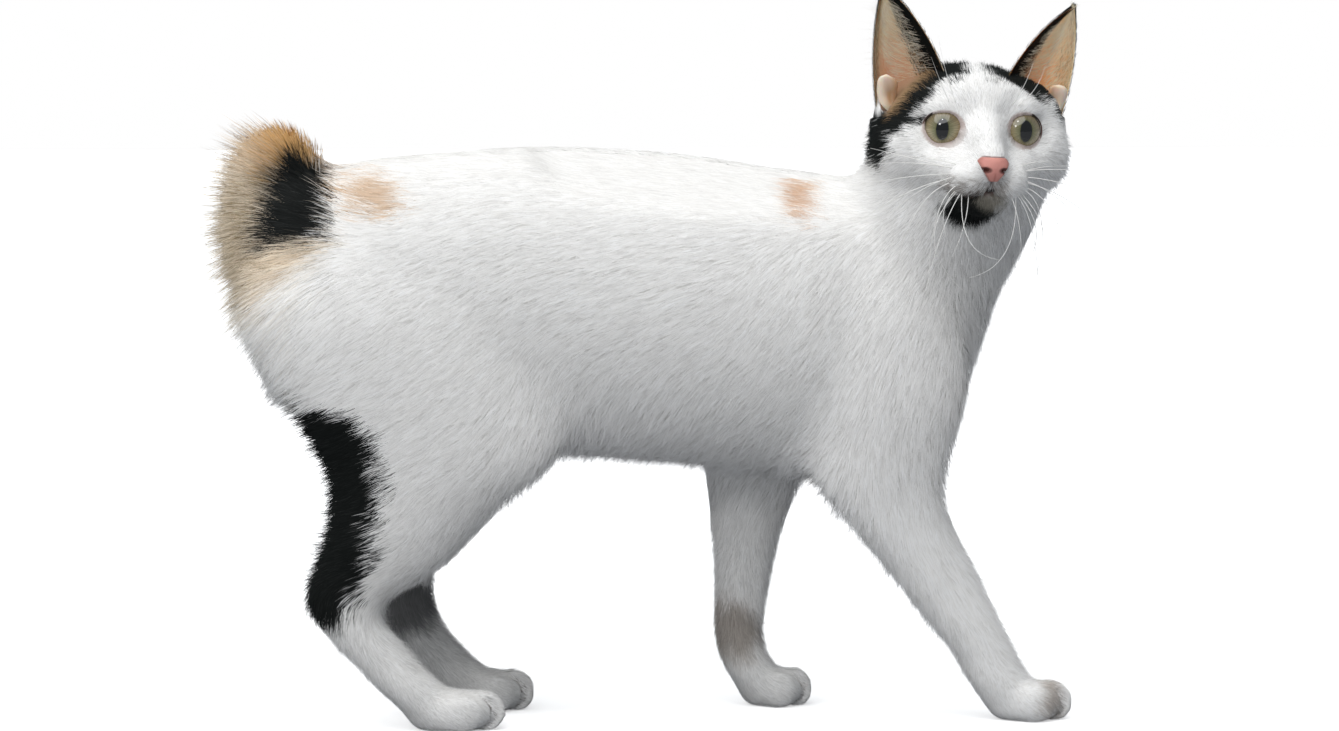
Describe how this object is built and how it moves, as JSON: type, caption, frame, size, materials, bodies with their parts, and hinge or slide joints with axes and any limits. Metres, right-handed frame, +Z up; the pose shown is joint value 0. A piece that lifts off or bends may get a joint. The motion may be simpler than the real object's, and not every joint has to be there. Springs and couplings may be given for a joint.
{
  "type": "japanese bobtail cat",
  "caption": "Life-size short-haired bobtail cat walking with its head turned to its right, white with black and orange patches and a pompon tail.",
  "frame": {"origin": "centre of the bounding box in plan, on the floor that the paws stand on", "axes": "+X forwards along the cat's back, towards the chest; +Y to the cat's left; +Z up"},
  "size_m": [0.4226, 0.1428, 0.3596],
  "materials": {
    "white_coat": "short dense hair, matt with a faint sheen",
    "tail_hair": "longer soft hair, tan and black",
    "eye": "wet and glossy",
    "nose": "bare skin, fine grain, slightly moist"
  },
  "bodies": {
    "root": {"torso": "white_coat", "neck": "white_coat", "head": "white_coat", "ear_left": "white_coat", "ear_right": "white_coat", "eye_left": "eye", "eye_right": "eye", "nose": "nose", "tail": "tail_hair", "foreleg_left": "white_coat", "foreleg_right": "white_coat", "hindleg_left": "white_coat", "hindleg_right": "white_coat", "paw_fore_left": "white_coat", "paw_fore_right": "white_coat", "paw_hind_left": "white_coat", "paw_hind_right": "white_coat"}
  },
  "joints": []
}
